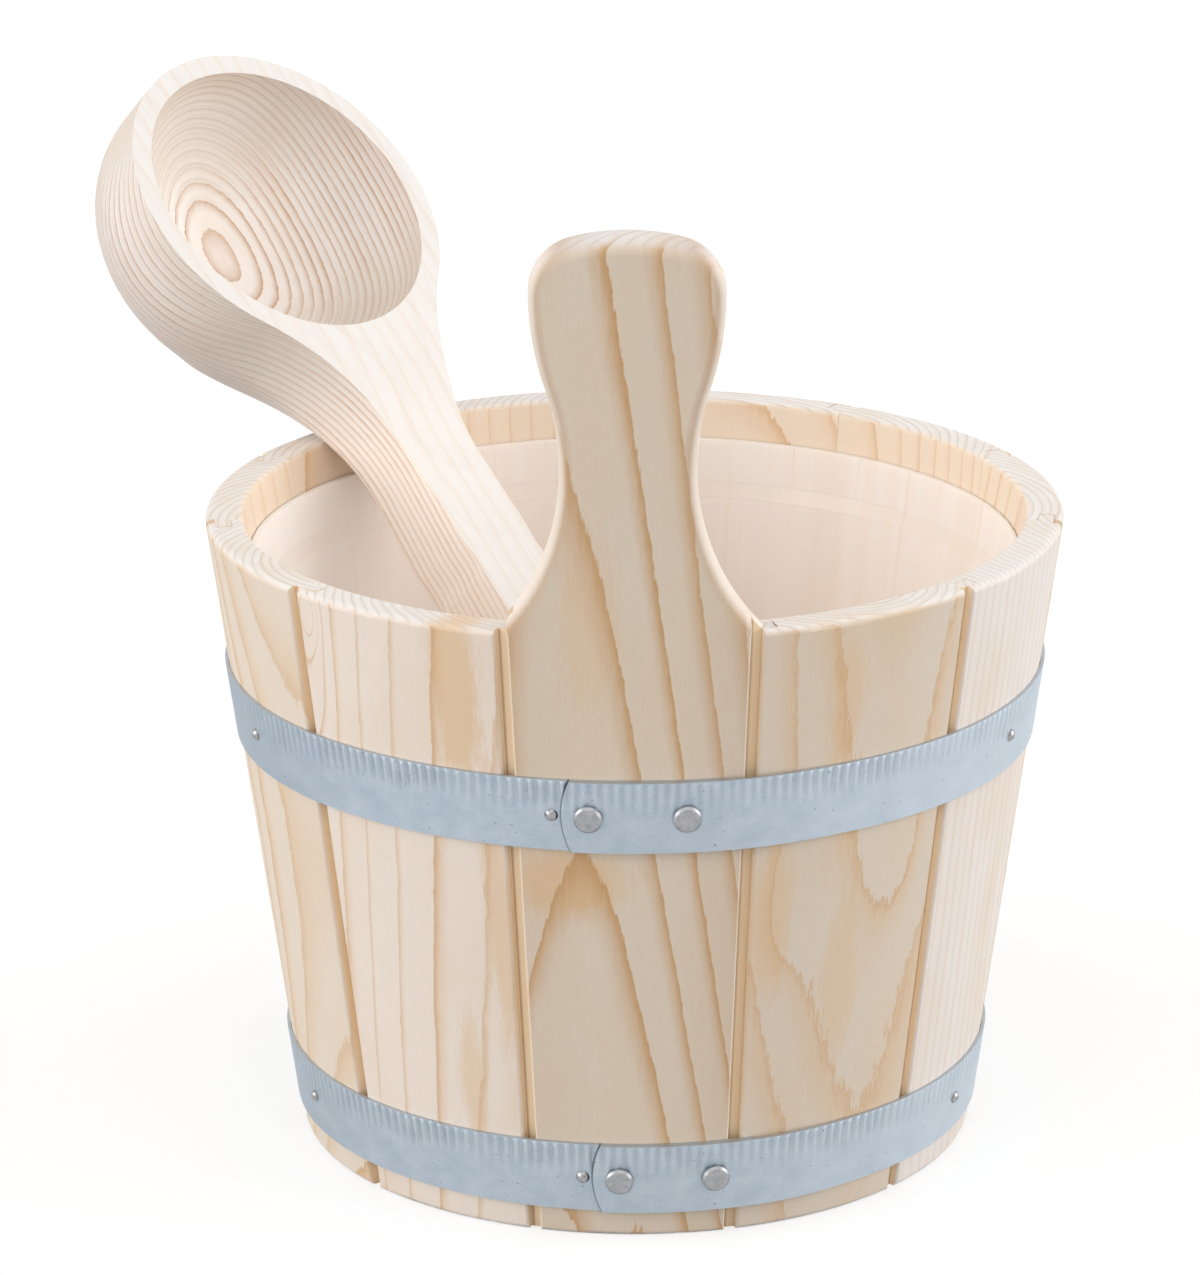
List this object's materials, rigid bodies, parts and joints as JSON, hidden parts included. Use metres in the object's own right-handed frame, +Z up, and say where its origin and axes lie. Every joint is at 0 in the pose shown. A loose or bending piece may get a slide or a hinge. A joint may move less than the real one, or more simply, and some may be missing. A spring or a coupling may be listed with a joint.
{
  "type": "wooden piggin",
  "caption": "Small tapered bucket of upright wooden staves, one stave extended into a handle, two riveted strip hoops, a plastic liner and a resting wooden ladle.",
  "frame": {"origin": "centre of the ring on which the staves stand, on the floor", "axes": "+Z up along the bucket's axis; -Y towards the long stave with the handle; +X to the right of that stave"},
  "size_m": [0.2678, 0.2702, 0.2811],
  "materials": {
    "stave_wood": "planed softwood, unfinished",
    "handle_wood": "planed and sanded softwood, unfinished",
    "bottom_wood": "planed softwood, unfinished",
    "dowel_wood": "turned hardwood",
    "hoop_steel": "galvanised strip, dull",
    "rivet_steel": "plated, satin",
    "nail_steel": "bright drawn wire",
    "liner_plastic": "milky, translucent moulding",
    "ladle_wood": "sanded softwood, unfinished"
  },
  "bodies": {
    "bucket": {"handle_stave": "handle_wood", "stave_01": "stave_wood", "stave_02": "stave_wood", "stave_03": "stave_wood", "stave_04": "stave_wood", "stave_05": "stave_wood", "stave_06": "stave_wood", "stave_07": "stave_wood", "stave_08": "stave_wood", "stave_09": "stave_wood", "stave_10": "stave_wood", "bottom_board_left": "bottom_wood", "bottom_board_middle": "bottom_wood", "bottom_board_right": "bottom_wood", "bottom_dowels": "dowel_wood", "upper_hoop": "hoop_steel", "upper_hoop_rivets": "rivet_steel", "upper_hoop_nails": "nail_steel", "lower_hoop": "hoop_steel", "lower_hoop_rivets": "rivet_steel", "lower_hoop_nails": "nail_steel"},
    "liner": {"liner": "liner_plastic"},
    "ladle": {"ladle": "ladle_wood"}
  },
  "joints": [
    {"name": "liner_lift", "type": "slide", "parent": "bucket", "child": "liner", "axis": [0, 0, 1], "range_m": [0, 0.2]},
    {"name": "ladle_lift", "type": "slide", "parent": "liner", "child": "ladle", "axis": [0, 0, 1], "range_m": [0, 0.3]}
  ]
}
